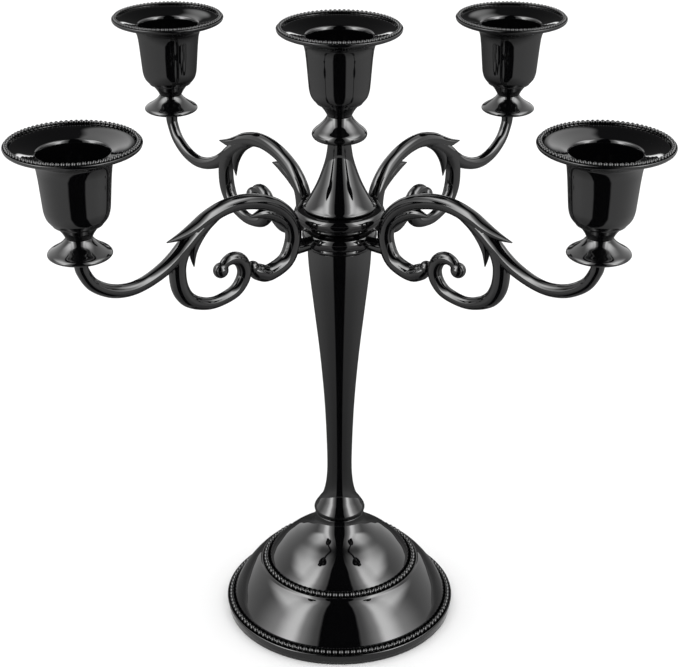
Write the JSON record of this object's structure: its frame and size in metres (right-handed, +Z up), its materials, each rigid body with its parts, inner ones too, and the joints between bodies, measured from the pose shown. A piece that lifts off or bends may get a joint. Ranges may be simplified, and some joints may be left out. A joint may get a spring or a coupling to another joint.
{
  "type": "candelabrum",
  "caption": "Free-standing black enamelled candelabrum with scroll arms round a trumpet-shaped column, beaded candle cups and a stepped round base.",
  "frame": {"origin": "on the column's axis, on the underside of the base", "axes": "+Z up along the column, -Y towards the front, +X to the right seen from the front"},
  "size_m": [0.2418, 0.2236, 0.27],
  "materials": {
    "enamel": "high-gloss black enamel",
    "zinc": "zinc plated",
    "felt": "dense black felt"
  },
  "bodies": {
    "column": {"base_shell": "enamel", "outer_bead_wire": "enamel", "inner_bead_wire": "enamel", "felt_pad": "felt", "base_washer": "zinc", "base_nut": "zinc", "tie_rod": "zinc", "stem": "enamel", "drip_disc_centre": "enamel"},
    "branches": {"hub_ring": "enamel", "upper_collar": "enamel", "upper_cone": "enamel", "arm_front_right": "enamel", "arm_screw_front_right": "zinc", "cup_stud_front_right": "zinc", "drip_disc_front_right": "enamel", "arm_front_left": "enamel", "arm_screw_front_left": "zinc", "cup_stud_front_left": "zinc", "drip_disc_front_left": "enamel", "arm_back_right": "enamel", "arm_screw_back_right": "zinc", "cup_stud_back_right": "zinc", "drip_disc_back_right": "enamel", "arm_back_left": "enamel", "arm_screw_back_left": "zinc", "cup_stud_back_left": "zinc", "drip_disc_back_left": "enamel"},
    "centre_cup": {"cup_centre": "enamel", "cup_beads_centre": "enamel"},
    "cup_body_front_right": {"cup_front_right": "enamel", "cup_beads_front_right": "enamel"},
    "cup_body_front_left": {"cup_front_left": "enamel", "cup_beads_front_left": "enamel"},
    "cup_body_back_right": {"cup_back_right": "enamel", "cup_beads_back_right": "enamel"},
    "cup_body_back_left": {"cup_back_left": "enamel", "cup_beads_back_left": "enamel"}
  },
  "joints": [
    {"name": "branch_turn", "type": "hinge", "parent": "column", "child": "branches", "pos_m": [0, 0, 0.1852], "axis": [0, 0, 1], "continuous": true},
    {"name": "centre_cup_lift", "type": "slide", "parent": "column", "child": "centre_cup", "axis": [0, 0, 1], "range_m": [0, 0.009]},
    {"name": "cup_lift_front_right", "type": "slide", "parent": "branches", "child": "cup_body_front_right", "axis": [0, 0, 1], "range_m": [0, 0.009]},
    {"name": "cup_lift_front_left", "type": "slide", "parent": "branches", "child": "cup_body_front_left", "axis": [0, 0, 1], "range_m": [0, 0.009]},
    {"name": "cup_lift_back_right", "type": "slide", "parent": "branches", "child": "cup_body_back_right", "axis": [0, 0, 1], "range_m": [0, 0.009]},
    {"name": "cup_lift_back_left", "type": "slide", "parent": "branches", "child": "cup_body_back_left", "axis": [0, 0, 1], "range_m": [0, 0.009]}
  ]
}
